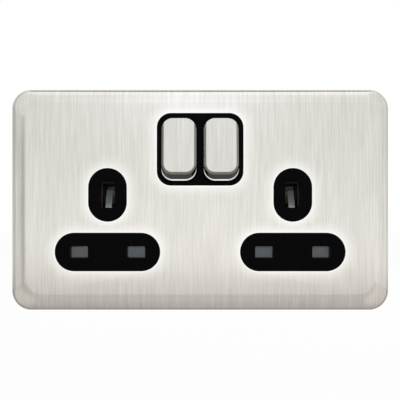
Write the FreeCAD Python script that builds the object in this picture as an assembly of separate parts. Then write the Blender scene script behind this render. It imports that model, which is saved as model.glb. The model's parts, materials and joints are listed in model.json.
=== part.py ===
import FreeCAD, Part
import math
import os

V = FreeCAD.Vector

# Twin switched socket outlet for a wall box, in millimetres.
# X runs along the plate, Z up, and the wall is the plane y = 0.
# The room is on the -Y side, and the body stands in the wall box on the +Y side.

# Face plate
plate_overhang_x = 5.5
plate_overhang_z = 5.0
plate_stand_off = 8.0
plate_corner_radius = 7.5
plate_sheet = 1.0
edge_band = 5.9
edge_drop = 2.2
edge_round = 0.9
tool_overrun = 1.0

# Insulating liner behind the face plate
liner_thickness = 1.0
liner_margin = 1.1
liner_corner_radius = 4.0
liner_rim = 1.0
peg_radius = 1.6
peg_inset = 3.5
peg_root = 0.2
peg_set_back = 0.2

# Outlets
outlet_pitch = 72.0
earth_row_z = 1.9
row_spacing = 22.2
pole_spacing = 22.2
earth_boss_width = 14.65
earth_boss_height = 20.5
pole_boss_end = 5.7
pole_boss_height = 14.6
earth_hole_width = 5.8
earth_hole_height = 10.0
pole_hole_width = 7.0
pole_hole_height = 4.6
hole_corner_radius = 0.5
boss_clearance = 0.1

# Plug pins that the contacts are made for
pole_pin_thickness = 4.0
pole_pin_width = 6.35
pole_pin_length = 17.7
earth_pin_width = 4.0
earth_pin_height = 8.0
earth_pin_length = 22.7
pin_grip = 0.6
pole_pin_gap = 0.5
earth_pin_gap = 0.1

# Switch bezel and rockers
bezel_side = 1.65
bezel_end = 1.7
bezel_top_gap = 0.4
bezel_rise = 0.4
bezel_corner_radius = 5.3
rocker_pitch = 16.4
rocker_width = 13.5
rocker_height = 24.4
rocker_corner_radius = 3.9
rocker_pivot_depth = 3.0
rocker_swing = 6.5
rocker_clearance = 0.15
cap_lip = 1.0
cap_sheet = 0.5
pad_wall = 2.2
pad_bevel = 1.0
pad_bevel_width = 0.95
pad_foot_slope = 1.35
pad_lip = 0.9
pad_head_slope = 0.3
pad_corner_radius = 3.0
rocker_skirt_height = 17.0
rocker_skirt_inset = 0.35
rocker_skirt_depth = 5.0
rocker_skirt_wall = 1.2
trunnion_radius = 1.2
trunnion_length = 1.3
pivot_clearance = 0.05
flag_width = 6.0
flag_height = 1.6
flag_depth = 1.5
pole_offset = 3.6
plunger_radius = 1.4
plunger_tube_radius = 2.2
plunger_tube_length = 8.0
plunger_clearance = 0.1
plunger_seat = 2.0
plunger_reach = 0.1
plunger_nose = 1.2
plunger_tip_radius = 0.35
plunger_spring_wire = 0.18
plunger_spring_turns = 3
coil_flats = 10

# Shell thickness and depths
body_corner_radius = 2.0
body_wall = 1.6
rear_room = 3.5
deck_front = 2.0
deck_thickness = 3.3
ledge_depth = 3.4
flange_side = 2.3
flange_edge = 1.9
flange_thickness = 1.2
rear_edge = 1.0

# Mounting yoke
yoke_end = 7.7
yoke_side = 6.0
yoke_sheet = 1.2
yoke_corner_radius = 4.0
yoke_joggle = 0.8
yoke_lap = 0.5
yoke_clearance = 0.2
recess_clearance = 0.3
fixing_offset = 6.0
fixing_radius = 2.0
fixing_slot = 5.5

# Shutters
shutter_thickness = 1.8
shutter_gap = 0.1
shutter_overlap = 0.9
shutter_foot_gap = 0.8
shutter_half_height = 3.3
shutter_travel = 6.0
shutter_stem_half = 3.6
shutter_window_half = 2.0
shutter_window_drop = 0.9
shutter_blade_gap = 0.7
shutter_ramp_width = 2.5
shutter_ramp_rise = 6.0
shutter_stem_drop = 0.2
shutter_spring_radius = 1.5
shutter_spring_wire = 0.25
shutter_spring_turns = 7
shutter_rail = 0.9
shutter_side_gap = 0.3
retainer_thickness = 1.2
retainer_head = 1.1
retainer_lap = 0.7
retainer_hole_margin = 0.6

# Contacts and conductors
strip = 0.8
strip_bend = 0.8
clip_width = 5.0
clip_mouth = 1.4
clip_neck = 2.6
clip_flare = 1.3
strip_spacing = 2.8
contact_inset = 1.5
contact_width = 3.0
contact_button_radius = 1.2
contact_button_height = 0.5
contact_gap_closed = 0.15
seesaw_inset = 2.2
seesaw_front_y = 7.6
seesaw_ratio = 0.9
saddle_radius = 0.85
saddle_wall = 0.6
bead_radius = 0.8
bead_web = 0.8
busbar_height = 3.6
line_bar_rise = 4.4
neutral_bar_drop = 4.2
seat_half_height = 1.0
tongue_overlap = 1.5
run_height = 3.2
earth_clip_height = 7.0
earth_clip_mouth = 4.0
earth_strap_height = 6.0
earth_leg_width = 4.0
rivet_radius = 1.5
rivet_head = 0.5

# Terminals
terminal_pitch = 10.0
terminal_centre_gap = 9.0
terminal_width = 7.5
terminal_front = 6.5
terminal_depth = 9.5
terminal_height = 8.0
terminal_entry = 6.0
wire_bore_radius = 2.3
wire_bore_y = 9.6
wire_bore_depth = 6.8
screw_radius = 1.75
screw_head_radius = 2.5
screw_head_height = 1.8
screw_clearance = 0.05
screw_back_off = 0.2
screw_travel = 4.0
screw_slot = 0.7
bay_wall = 1.3
bay_clearance = 0.2
fin = 1.2
notch_overrun = 1.0

# Housing screws
housing_screw_radius = 1.4
housing_head_radius = 2.6
housing_head_height = 1.6
housing_post_radius = 2.2
screw_blind_skin = 1.0
housing_boss_radius = 4.0
housing_boss_depth = 3.0
upper_screw_drop = 12.0
post_gap = 0.1

# Sizes that follow from those above
shutter_half_width = (pole_spacing + pole_hole_width) / 2 + shutter_overlap
body_width = outlet_pitch + 2 * (shutter_half_width + shutter_side_gap + shutter_rail + body_wall)
fixing_pitch = body_width + 2 * fixing_offset
yoke_width = fixing_pitch + 2 * yoke_end
plate_width = yoke_width + 2 * plate_overhang_x
pole_row_z = earth_row_z - row_spacing
shutter_reach = shutter_half_height + shutter_travel + shutter_foot_gap
body_height = 2 * (shutter_reach + body_wall - pole_row_z)
yoke_height = body_height + 2 * yoke_side
plate_height = yoke_height + 2 * plate_overhang_z
flange_width = body_width + 2 * flange_side
flange_height = body_height + 2 * flange_edge
pole_boss_width = pole_spacing + pole_hole_width + 2 * pole_boss_end
bezel_width = rocker_pitch + rocker_width + 2 * bezel_side
bezel_height = rocker_height + 2 * bezel_end
seesaw_half_length = rocker_height / 2 - seesaw_inset
contact_arm = seesaw_half_length - contact_inset

# Places that follow from the sizes above
bezel_z = (flange_height - bezel_height) / 2 - bezel_top_gap
rocker_z = bezel_z - bezel_rise
plate_face_y = -plate_stand_off
liner_front_y = plate_face_y + plate_sheet
deck_front_y = plate_face_y + deck_front
deck_rear_y = deck_front_y + deck_thickness
split_y = -yoke_joggle
yoke_front_y = -yoke_sheet
ring_front_y = split_y - yoke_sheet
cavity_width = body_width - 2 * body_wall
cavity_height = body_height - 2 * body_wall
rocker_pivot_y = plate_face_y + rocker_pivot_depth
shutter_front_y = deck_rear_y + shutter_gap
shutter_rear_y = shutter_front_y + shutter_thickness
retainer_front_y = shutter_rear_y + shutter_gap
retainer_rear_y = retainer_front_y + retainer_thickness
retainer_foot = -cavity_height / 2 + body_corner_radius / 2
retainer_top = earth_row_z + earth_hole_height / 2 + retainer_head
shutter_window_top = earth_row_z - earth_hole_height / 2 - shutter_window_drop
shutter_blade_top = pole_row_z + shutter_half_height
shutter_window_foot = shutter_blade_top + shutter_blade_gap
spring_seat_z = shutter_window_foot + shutter_gap + retainer_thickness
shutter_spring_length = shutter_window_top - spring_seat_z
shutter_ramp_top = earth_row_z + earth_pin_height / 4
front_strip_y = plate_face_y + pole_pin_length + pole_pin_gap
rear_strip_y = front_strip_y + strip_spacing
earth_strip_y = plate_face_y + earth_pin_length + earth_pin_gap + strip
rear_inner_y = earth_strip_y + strip + rivet_head + rear_room
body_depth = rear_inner_y + body_wall
line_bar_z = rocker_z + line_bar_rise
neutral_bar_z = rocker_z - neutral_bar_drop
terminal_top = terminal_height + terminal_entry - body_height / 2
seesaw_rear_y = seesaw_front_y + strip
seesaw_axis_y = seesaw_rear_y + bead_radius
screw_tip_y = deck_front_y + screw_blind_skin
terminal_centres = [
    -terminal_centre_gap / 2 - terminal_pitch,
    -terminal_centre_gap / 2,
    terminal_centre_gap / 2,
    terminal_centre_gap / 2 + terminal_pitch,
]
bay_half_width = terminal_centres[3] + terminal_width / 2 + bay_clearance
upper_screw_x = outlet_pitch / 2
upper_screw_z = body_height / 2 - upper_screw_drop
lower_screw_x = outlet_pitch / 2 - shutter_stem_half - housing_post_radius - post_gap
lower_screw_z = (earth_row_z + pole_row_z) / 2
sides = {"left": -1, "right": 1}


def block(x0, x1, y0, y1, z0, z1):
    corner = V(min(x0, x1), min(y0, y1), min(z0, z1))
    return Part.makeBox(abs(x1 - x0), abs(y1 - y0), abs(z1 - z0), corner)


def rod(start, direction, radius, length):
    return Part.makeCylinder(radius, length, start, direction)


def rod_y(x, z, radius, y0, y1):
    return rod(V(x, y0, z), V(0, 1, 0), radius, y1 - y0)


def rounded_outline(cx, cz, width, height, radius, y):
    # a closed outline in the plane y, whose straight sides vanish where the ends are half round
    edges = []
    corners = ((1, -1, -90), (1, 1, 0), (-1, 1, 90), (-1, -1, 180))
    arcs = []
    for side_x, side_z, start in corners:
        centre = V(cx + side_x * (width / 2 - radius), y, cz + side_z * (height / 2 - radius))
        points = []
        for turn in (0, 45, 90):
            angle = math.radians(start + turn)
            points.append(centre + V(radius * math.cos(angle), 0, radius * math.sin(angle)))
        arcs.append(points)
    for here, after in zip(arcs, arcs[1:] + arcs[:1]):
        edges.append(Part.Arc(*here).toShape())
        if (after[0] - here[2]).Length > 1e-6:
            edges.append(Part.LineSegment(here[2], after[0]).toShape())
    return Part.Wire(edges)


def rounded_plate(cx, cz, width, height, radius, y0, y1):
    face = Part.Face(rounded_outline(cx, cz, width, height, radius, y0))
    return face.extrude(V(0, y1 - y0, 0))


def extruded_profile(points, x0, x1):
    # a profile of (y, z) points, extruded along X
    corners = [V(x0, y, z) for y, z in points]
    face = Part.Face(Part.makePolygon(corners + corners[:1]))
    return face.extrude(V(x1 - x0, 0, 0))


def bent_strip(points, thickness, bend, spread, span):
    # sheet bent along a centre line of points, and extruded by the vector spread of the given span
    normal = V(spread).normalize()
    sides_of_strip = []
    for side in (1, -1):
        edges = []
        last = None
        for index, point in enumerate(points):
            if index == 0 or index == len(points) - 1:
                other = points[1] if index == 0 else points[-2]
                along = (other - point).normalize() if index == 0 else (point - other).normalize()
                here = point + normal.cross(along) * (side * thickness / 2)
                if last is not None:
                    edges.append(Part.LineSegment(last, here).toShape())
                last = here
                continue
            before = (point - points[index - 1]).normalize()
            after = (points[index + 1] - point).normalize()
            turn = before.getAngle(after)
            sense = 1 if normal.dot(before.cross(after)) > 0 else -1
            centre = point + normal.cross(before) * (sense * bend)
            centre = centre - before * (bend * math.tan(turn / 2))
            radius = bend - sense * side * thickness / 2
            out_before = normal.cross(before) * (-sense * radius)
            out_after = normal.cross(after) * (-sense * radius)
            middle = (out_before + out_after).normalize() * radius
            edges.append(Part.LineSegment(last, centre + out_before).toShape())
            arc = Part.Arc(centre + out_before, centre + middle, centre + out_after)
            edges.append(arc.toShape())
            last = centre + out_after
        sides_of_strip.append(edges)
    left, right = sides_of_strip
    caps = []
    for end in (0, -1):
        a = left[end].Vertexes[end].Point
        b = right[end].Vertexes[end].Point
        caps.append(Part.LineSegment(a, b).toShape())
    wire = Part.Wire(Part.__sortEdges__(left + right + caps))
    return Part.Face(wire).extrude(normal * span)


def coil(base, axis, radius, wire, length, turns):
    # a helical spring of flats between square sections, whose end coils stay inside its stated length
    pitch = (length - 2 * wire) / turns
    half = wire * math.sqrt(math.pi) / 2
    sections = []
    for step in range(turns * coil_flats + 1):
        turn = step / coil_flats
        across = V(math.cos(2 * math.pi * turn), math.sin(2 * math.pi * turn), 0)
        centre = across * radius + V(0, 0, wire + pitch * turn)
        corners = []
        for out, up in ((1, 1), (-1, 1), (-1, -1), (1, -1)):
            corners.append(centre + across * (out * half) + V(0, 0, up * half))
        sections.append(Part.makePolygon(corners + corners[:1]))
    body = Part.makeLoft(sections, True, True)
    body.Placement = FreeCAD.Placement(base, FreeCAD.Rotation(V(0, 0, 1), axis))
    return body


def edges_where(shape, test):
    return [edge for edge in shape.Edges if test(edge.BoundBox)]


def in_plane_y(y):
    return lambda box: abs(box.YMin - y) < 1e-4 and abs(box.YMax - y) < 1e-4


def save(name, shape):
    shape.exportStep("parts/" + name + ".step")


def outlet_centres():
    return [(name, side * outlet_pitch / 2) for name, side in sides.items()]


def rocker_centres():
    return [(name, side * rocker_pitch / 2) for name, side in sides.items()]


# Shared outlines

def post_end(z):
    # the lower posts carry the shutter retainers, and the upper ones meet the rear moulding
    return split_y if z > retainer_top else retainer_front_y


def boss_outlines(grow):
    # the places where the black moulding shows through the plate and its liner
    shapes = []
    for _, x in outlet_centres():
        shapes.append((x, earth_row_z, earth_boss_width, earth_boss_height, earth_boss_width / 2))
        shapes.append((x, pole_row_z, pole_boss_width, pole_boss_height, pole_boss_height / 2))
    shapes.append((0, bezel_z, bezel_width, bezel_height, bezel_corner_radius))
    return [(x, z, w + 2 * grow, h + 2 * grow, r + grow) for x, z, w, h, r in shapes]


def boss_cut(grow, y0, y1):
    return [rounded_plate(*outline, y0, y1) for outline in boss_outlines(grow)]


def peg_places():
    reach_x = yoke_width / 2 - peg_inset - peg_radius
    reach_z = yoke_height / 2 - peg_inset - peg_radius
    return [(side_x * reach_x, side_z * reach_z) for side_x in (-1, 1) for side_z in (-1, 1)]


def housing_screw_places():
    places = []
    for side in (-1, 1):
        places.append((side * upper_screw_x, upper_screw_z))
        places.append((side * lower_screw_x, lower_screw_z))
    return places


# Face plate: pressed sheet with a soft edge all round, pierced for the mouldings

def tray(inset, rear_y):
    # the edge profile is swept round the outline and closed with a flat middle
    half_w = plate_width / 2 - inset
    half_h = plate_height / 2 - inset
    face_y = plate_face_y + inset
    band = edge_band - inset
    radius = (band ** 2 + edge_drop ** 2) / (2 * edge_drop)
    slope = math.asin((band - edge_round) / radius)
    outer = V(half_w, rear_y, 0)
    shoulder = V(half_w, face_y + edge_drop + edge_round, 0)
    inner_face = V(half_w - band, face_y, 0)
    arc_centre = inner_face + V(0, radius, 0)
    knee = arc_centre + V(math.sin(slope), -math.cos(slope), 0) * radius
    middle = arc_centre + V(math.sin(slope / 2), -math.cos(slope / 2), 0) * radius
    foot = V(half_w - band, rear_y, 0)
    sweep = [
        Part.Arc(inner_face, middle, knee).toShape(),
        Part.LineSegment(knee, shoulder).toShape(),
        Part.LineSegment(shoulder, outer).toShape(),
        Part.LineSegment(outer, foot).toShape(),
        Part.LineSegment(foot, inner_face).toShape(),
    ]
    profile = Part.Wire(sweep)
    corner = plate_corner_radius - inset
    path = rounded_outline(0, 0, 2 * half_w, 2 * half_h, corner, rear_y)
    edge = path.makePipeShell([profile], True, False)
    inner_radius = corner - band
    core = rounded_plate(0, 0, 2 * (half_w - band), 2 * (half_h - band), inner_radius, face_y, rear_y)
    return edge.fuse(core).removeSplitter()


def front_plate():
    solid = tray(0, 0).cut(tray(plate_sheet, tool_overrun))
    return solid.cut(boss_cut(boss_clearance, plate_face_y - tool_overrun, 0))


def plate_liner():
    width = plate_width - 2 * (edge_band + liner_margin)
    height = plate_height - 2 * (edge_band + liner_margin)
    rear = liner_front_y + liner_thickness
    solid = rounded_plate(0, 0, width, height, liner_corner_radius, liner_front_y, yoke_front_y)
    inner = rounded_plate(0, 0, width - 2 * liner_rim, height - 2 * liner_rim,
                          liner_corner_radius - liner_rim, rear, yoke_front_y)
    solid = solid.cut(inner).cut(boss_cut(boss_clearance, liner_front_y, rear))
    pegs = [rod_y(x, z, peg_radius, rear - peg_root, -peg_set_back) for x, z in peg_places()]
    return solid.fuse(pegs).removeSplitter()


# Front moulding: deck with the flush bosses, the shutter rails and the rocker wells

def aperture_tools():
    tools = []
    for _, x in outlet_centres():
        tools.append(rounded_plate(x, earth_row_z, earth_hole_width, earth_hole_height,
                                   hole_corner_radius, plate_face_y, split_y))
        for side in (-1, 1):
            centre = x + side * pole_spacing / 2
            tools.append(rounded_plate(centre, pole_row_z, pole_hole_width, pole_hole_height,
                                       hole_corner_radius, plate_face_y, split_y))
    return tools


def rocker_well(x):
    swing = math.sin(math.radians(rocker_swing))
    width = rocker_width + 2 * rocker_clearance
    sweep = rocker_pivot_depth * swing + rocker_clearance
    height = rocker_height + 2 * sweep
    upper = rounded_plate(x, rocker_z, width, height, rocker_corner_radius,
                          plate_face_y, plate_face_y + ledge_depth)
    throat = rocker_skirt_height + 2 * (rocker_skirt_depth * swing + rocker_clearance)
    lower = block(x - width / 2, x + width / 2, plate_face_y, split_y,
                  rocker_z - throat / 2, rocker_z + throat / 2)
    seat = trunnion_length + rocker_width / 2 - rocker_skirt_inset + pivot_clearance
    bearing = rod(V(x - seat, rocker_pivot_y, rocker_z), V(1, 0, 0),
                  trunnion_radius + pivot_clearance, 2 * seat)
    return [upper, lower, bearing]


def front_moulding():
    deck = rounded_plate(0, 0, flange_width, flange_height, body_corner_radius, deck_front_y, ring_front_y)
    skirt = rounded_plate(0, 0, body_width, body_height, body_corner_radius, ring_front_y, split_y)
    cavity = rounded_plate(0, 0, cavity_width, cavity_height, body_corner_radius / 2, deck_rear_y, split_y)
    solid = deck.fuse(skirt).cut(cavity)
    bosses = boss_cut(0, plate_face_y, deck_front_y)
    rails = []
    for _, x in outlet_centres():
        for side in (-1, 1):
            near = x + side * (shutter_half_width + shutter_side_gap)
            rails.append(block(near, near + side * shutter_rail, deck_rear_y, retainer_front_y,
                               retainer_foot, retainer_top))
    posts = []
    for x, z in housing_screw_places():
        posts.append(rod_y(x, z, housing_post_radius, deck_rear_y, post_end(z)))
    solid = solid.fuse(bosses + rails + posts)
    tools = aperture_tools()
    for _, x in rocker_centres():
        tools += rocker_well(x)
    for x, z in housing_screw_places():
        tools.append(rod_y(x, z, housing_screw_radius, screw_tip_y, post_end(z)))
    return solid.cut(tools).removeSplitter()


# Mounting yoke: pressed steel frame, joggled round the window so that the body's flange lies flush

def mounting_yoke():
    recess_w = flange_width + 2 * recess_clearance
    recess_h = flange_height + 2 * recess_clearance
    frame = rounded_plate(0, 0, yoke_width, yoke_height, yoke_corner_radius, yoke_front_y, 0)
    recess = rounded_plate(0, 0, recess_w, recess_h, body_corner_radius, yoke_front_y, 0)
    ring = rounded_plate(0, 0, recess_w + 2 * yoke_lap, recess_h + 2 * yoke_lap,
                         body_corner_radius + yoke_lap, ring_front_y, split_y)
    window = rounded_plate(0, 0, body_width + 2 * yoke_clearance, body_height + 2 * yoke_clearance,
                           body_corner_radius, ring_front_y, 0)
    solid = frame.cut(recess).fuse(ring).cut(window)
    tools = []
    for side in (-1, 1):
        tools.append(rounded_plate(side * fixing_pitch / 2, 0, fixing_slot, 2 * fixing_radius,
                                   fixing_radius, yoke_front_y, 0))
    for x, z in peg_places():
        tools.append(rod_y(x, z, peg_radius + pivot_clearance, yoke_front_y, 0))
    return solid.cut(tools).removeSplitter()


# Rear moulding: box with partitions, seats for the conductors and an open wiring bay

def conductor_seats():
    # pads that stand on the back wall and carry each strip from behind
    pads = []
    half = contact_width / 2
    for _, side in sides.items():
        for reach, plane in ((outlet_pitch / 2 - pole_spacing / 2, front_strip_y),
                             (outlet_pitch / 2 + pole_spacing / 2, rear_strip_y)):
            x = side * reach
            for z in (pole_row_z, retainer_top + 2 * half):
                pads.append(block(x - half, x + half, plane + strip, rear_inner_y, z - half, z + half))
        x = side * outlet_pitch / 2
        pads.append(block(x - half, x + half, earth_strip_y + strip + rivet_head, rear_inner_y,
                          earth_row_z - half, earth_row_z + half))
    line_x = -rocker_pitch / 2 - pole_offset
    for x, z in ((line_x, line_bar_z), (-line_x, neutral_bar_z), (0, line_bar_z), (0, neutral_bar_z)):
        pads.append(block(x - half / 2, x + half / 2, front_strip_y + strip, rear_inner_y,
                          z - seat_half_height, z + seat_half_height))
    return pads


def rear_moulding():
    flange = rounded_plate(0, 0, flange_width, flange_height, body_corner_radius,
                           split_y, split_y + flange_thickness)
    box = rounded_plate(0, 0, body_width, body_height, body_corner_radius, split_y, body_depth)
    box = box.makeChamfer(rear_edge, edges_where(box, in_plane_y(body_depth)))
    cavity = rounded_plate(0, 0, cavity_width, cavity_height, body_corner_radius / 2, split_y, rear_inner_y)
    solid = flange.fuse(box).cut(cavity)
    bay_top = terminal_top + bay_clearance
    bay_front = terminal_front - bay_wall
    inner = bay_half_width
    floor = -body_height / 2
    housing = block(-inner - bay_wall, inner + bay_wall, bay_front, rear_inner_y,
                    floor + body_wall / 2, bay_top + bay_wall)
    bay = block(-inner, inner, terminal_front, body_depth, floor, bay_top)
    partitions = []
    for side in (-1, 1):
        near = side * (outlet_pitch / 2 - shutter_half_width - shutter_side_gap - shutter_rail / 2)
        wall = block(near, near - side * fin, retainer_rear_y, rear_inner_y,
                     terminal_top, line_bar_z)
        notch = block(near + side * notch_overrun, near - side * (fin + notch_overrun),
                      earth_strip_y - bay_clearance,
                      earth_strip_y + strip + bay_clearance,
                      earth_row_z - earth_strap_height / 2 - bay_clearance,
                      earth_row_z + earth_strap_height / 2 + bay_clearance)
        partitions.append(wall.cut(notch))
        rib = side * cavity_width / 2
        partitions.append(block(rib, rib - side * fin, retainer_rear_y, rear_inner_y, -fin, fin))
    posts = []
    for x, z in housing_screw_places():
        front = split_y if z > retainer_top else retainer_rear_y
        posts.append(rod_y(x, z, housing_post_radius, front, rear_inner_y))
        posts.append(rod_y(x, z, housing_boss_radius, rear_inner_y - housing_boss_depth, rear_inner_y))
    solid = solid.fuse([housing] + partitions + posts + conductor_seats()).cut(bay)
    fins = []
    for left, right in zip(terminal_centres, terminal_centres[1:]):
        middle = (left + right) / 2
        fins.append(block(middle - fin / 2, middle + fin / 2, terminal_front, body_depth - rear_edge,
                          terminal_top - terminal_height, bay_top))
    solid = solid.fuse(fins)
    tools = []
    leg = contact_width / 2 + bay_clearance
    for x in (terminal_centres[0], terminal_centres[3]):
        tools.append(block(x - leg, x + leg, front_strip_y - bay_clearance,
                           front_strip_y + strip + bay_clearance, bay_top, bay_top + bay_wall))
    leg = earth_leg_width / 2 + bay_clearance
    for x in terminal_centres[1:3]:
        tools.append(block(x - leg, x + leg, earth_strip_y - bay_clearance,
                           earth_strip_y + strip + bay_clearance, bay_top, bay_top + bay_wall))
    for x, z in housing_screw_places():
        tools.append(rod_y(x, z, housing_screw_radius, split_y, body_depth))
        tools.append(rod_y(x, z, housing_head_radius + bay_clearance,
                           body_depth - housing_head_height, body_depth))
    return solid.cut(tools).removeSplitter()


def housing_screws():
    screws = []
    for x, z in housing_screw_places():
        head_y = body_depth - housing_head_height
        shank = rod_y(x, z, housing_screw_radius, screw_tip_y + screw_clearance, head_y)
        head = rod_y(x, z, housing_head_radius, head_y, body_depth)
        slot = block(x - screw_slot / 2, x + screw_slot / 2, body_depth - screw_slot, body_depth,
                     z - housing_head_radius, z + housing_head_radius)
        screws.append(shank.fuse(head).cut(slot))
    return Part.makeCompound(screws)


# Rocker switches, drawn level about their pivot and then turned to off

def rocker_pad(inset):
    # the raised touch pad: walls that stand on the lip, and a bevel on three sides of its face
    half = rocker_height / 2
    lip_y = -rocker_pivot_depth + inset
    low = -half + pad_lip + inset
    high = half - inset
    foot = rounded_outline(0, (low + high) / 2, rocker_width - 2 * inset, high - low,
                           rocker_corner_radius - inset, lip_y)
    low += pad_foot_slope
    high -= pad_head_slope
    knee = rounded_outline(0, (low + high) / 2, rocker_width - 2 * inset, high - low,
                           rocker_corner_radius - inset, lip_y - pad_wall)
    low += pad_bevel_width
    face = rounded_outline(0, (low + high) / 2, rocker_width - 2 * (pad_bevel_width + inset), high - low,
                           pad_corner_radius - inset, lip_y - pad_wall - pad_bevel)
    walls = Part.makeLoft([foot, knee], True, True)
    return walls.fuse(Part.makeLoft([knee, face], True, True)).removeSplitter()


def rocker_face(inset):
    lip = rounded_plate(0, 0, rocker_width - 2 * inset, rocker_height - 2 * inset,
                        rocker_corner_radius - inset, -rocker_pivot_depth + inset,
                        -rocker_pivot_depth + cap_lip)
    return lip.fuse(rocker_pad(inset)).removeSplitter()


def flag_space():
    top = rocker_height / 2
    front = -rocker_pivot_depth - (pad_wall + flag_height) / 2
    return block(-flag_width / 2, flag_width / 2, front, front + flag_height, top - flag_depth, top)


def rocker_body():
    skirt_half = rocker_width / 2 - rocker_skirt_inset
    top = rocker_skirt_height / 2
    front = -rocker_pivot_depth + cap_lip
    rear = front + rocker_skirt_depth
    skirt = block(-skirt_half, skirt_half, front, rear, -top, top)
    hollow = block(-skirt_half + rocker_skirt_wall, skirt_half - rocker_skirt_wall,
                   front + rocker_skirt_wall, rear, -top + rocker_skirt_wall, top - rocker_skirt_wall)
    solid = rocker_face(cap_sheet).cut(flag_space()).fuse(skirt).cut(hollow)
    floor = front + rocker_skirt_wall
    tubes = []
    bores = []
    for side in (-1, 1):
        x = side * pole_offset
        tubes.append(rod_y(x, 0, plunger_tube_radius, floor - rocker_skirt_wall / 2,
                           floor + plunger_tube_length))
        bores.append(rod_y(x, 0, plunger_radius + plunger_clearance, floor, floor + plunger_tube_length))
    trunnions = [rod(V(side * skirt_half, 0, 0), V(side, 0, 0), trunnion_radius, trunnion_length)
                 for side in (-1, 1)]
    return solid.fuse(tubes + trunnions).cut(bores).removeSplitter()


def rocker_cap():
    return rocker_face(0).cut(rocker_face(cap_sheet)).cut(flag_space())


def on_flag():
    return rocker_face(0).common(flag_space())


def plunger():
    tip = seesaw_front_y - plunger_reach - rocker_pivot_y
    shank = rod_y(0, 0, plunger_radius, plunger_seat, tip - plunger_nose)
    start = V(0, tip - plunger_nose, 0)
    nose = Part.makeCone(plunger_radius, plunger_tip_radius, plunger_nose, start, V(0, 1, 0))
    return shank.fuse(nose).removeSplitter()


def plunger_spring():
    floor = -rocker_pivot_depth + cap_lip + rocker_skirt_wall
    return coil(V(0, floor, 0), V(0, 1, 0), plunger_radius - plunger_spring_wire,
                plunger_spring_wire, plunger_seat - floor, plunger_spring_turns)


def switch_off(shape, x):
    turned = shape.copy()
    turned.rotate(V(0, 0, 0), V(1, 0, 0), -rocker_swing)
    turned.translate(V(x, rocker_pivot_y, rocker_z))
    return turned


# Moving contacts: see-saw arms that rock on a bead under the plunger

def moving_contact(x):
    half = contact_width / 2
    arm = block(x - half, x + half, seesaw_front_y, seesaw_rear_y,
                rocker_z - seesaw_half_length, rocker_z + seesaw_half_length)
    axis_start = V(x - half, seesaw_axis_y, rocker_z)
    collar = rod(axis_start, V(1, 0, 0), saddle_radius + saddle_wall, contact_width)
    front_half = block(x - half, x + half, seesaw_front_y, seesaw_axis_y,
                       rocker_z - 2 * saddle_radius, rocker_z + 2 * saddle_radius)
    groove = rod(axis_start, V(1, 0, 0), saddle_radius, contact_width)
    button = rod_y(x, rocker_z + contact_arm, contact_button_radius,
                   seesaw_rear_y, seesaw_rear_y + contact_button_height)
    solid = arm.fuse([collar.common(front_half), button]).cut(groove).removeSplitter()
    solid.rotate(V(x, seesaw_axis_y, rocker_z), V(1, 0, 0), seesaw_ratio * rocker_swing)
    return solid


def fixed_tip(x):
    swing = math.radians(seesaw_ratio * rocker_swing)
    edge = contact_arm + contact_button_radius
    button_y = seesaw_rear_y + contact_button_height - seesaw_axis_y
    touch_y = seesaw_axis_y + button_y * math.cos(swing) + edge * math.sin(swing)
    front = min(touch_y + contact_gap_closed, front_strip_y - contact_gap_closed)
    return rod_y(x, rocker_z + contact_arm, contact_button_radius, front, front_strip_y)


def pole_places():
    # each rocker works a near pole and a far pole; the far one is the outer one
    places = []
    for name, centre in rocker_centres():
        side = sides[name]
        places.append((name, "outer", centre + side * pole_offset))
        places.append((name, "inner", centre - side * pole_offset))
    return places


# Conductors: bent strip from each fixed contact to the clip that grips the pin

def pin_jaw(x, plane, half_width):
    # two leaves that close on the pin and open again at the mouth
    back = plane + strip / 2
    grip = (pole_pin_thickness - pin_grip + strip) / 2
    belly = grip + strip
    mouth = grip + clip_flare
    neck = clip_mouth + clip_neck
    path = [
        V(x - half_width, clip_mouth, pole_row_z + mouth),
        V(x - half_width, neck, pole_row_z + grip),
        V(x - half_width, back, pole_row_z + belly),
        V(x - half_width, back, pole_row_z - belly),
        V(x - half_width, neck, pole_row_z - grip),
        V(x - half_width, clip_mouth, pole_row_z - mouth),
    ]
    return bent_strip(path, strip, strip_bend, V(1, 0, 0), 2 * half_width)


def near_conductor(side):
    # from the outer pole straight across to the pole hole nearest the middle
    start = side * (rocker_pitch / 2 + pole_offset)
    end = side * (outlet_pitch / 2 - pole_spacing / 2)
    half = clip_width / 2
    top = rocker_z + contact_arm + run_height / 2
    rear = front_strip_y + strip
    run = block(start - side * contact_width / 2, end + side * half, front_strip_y, rear,
                top - run_height, top)
    drop = block(end - half, end + half, front_strip_y, rear, pole_row_z + half, top)
    return run.fuse([drop, pin_jaw(end, front_strip_y, half)]).removeSplitter()


def far_conductor(side):
    # from the inner pole, stepped back to pass behind the near one
    start = side * (rocker_pitch / 2 - pole_offset)
    end = side * (outlet_pitch / 2 + pole_spacing / 2)
    half = clip_width / 2
    top = rocker_z + contact_arm + run_height / 2
    pad_low = top - run_height
    step = [
        V(start - contact_width / 2, front_strip_y + strip / 2, pad_low),
        V(start - contact_width / 2, front_strip_y + strip / 2, top),
        V(start - contact_width / 2, rear_strip_y + strip / 2, top),
        V(start - contact_width / 2, rear_strip_y + strip / 2, pad_low),
    ]
    pad = bent_strip(step, strip, strip_bend, V(1, 0, 0), contact_width)
    rear = rear_strip_y + strip
    run = block(start - side * contact_width / 2, end + side * half, rear_strip_y, rear,
                pad_low, pad_low + run_height / 2)
    drop = block(end - half, end + half, rear_strip_y, rear, pole_row_z + half, pad_low + run_height / 2)
    return run.fuse([pad, drop, pin_jaw(end, rear_strip_y, half)]).removeSplitter()


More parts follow.
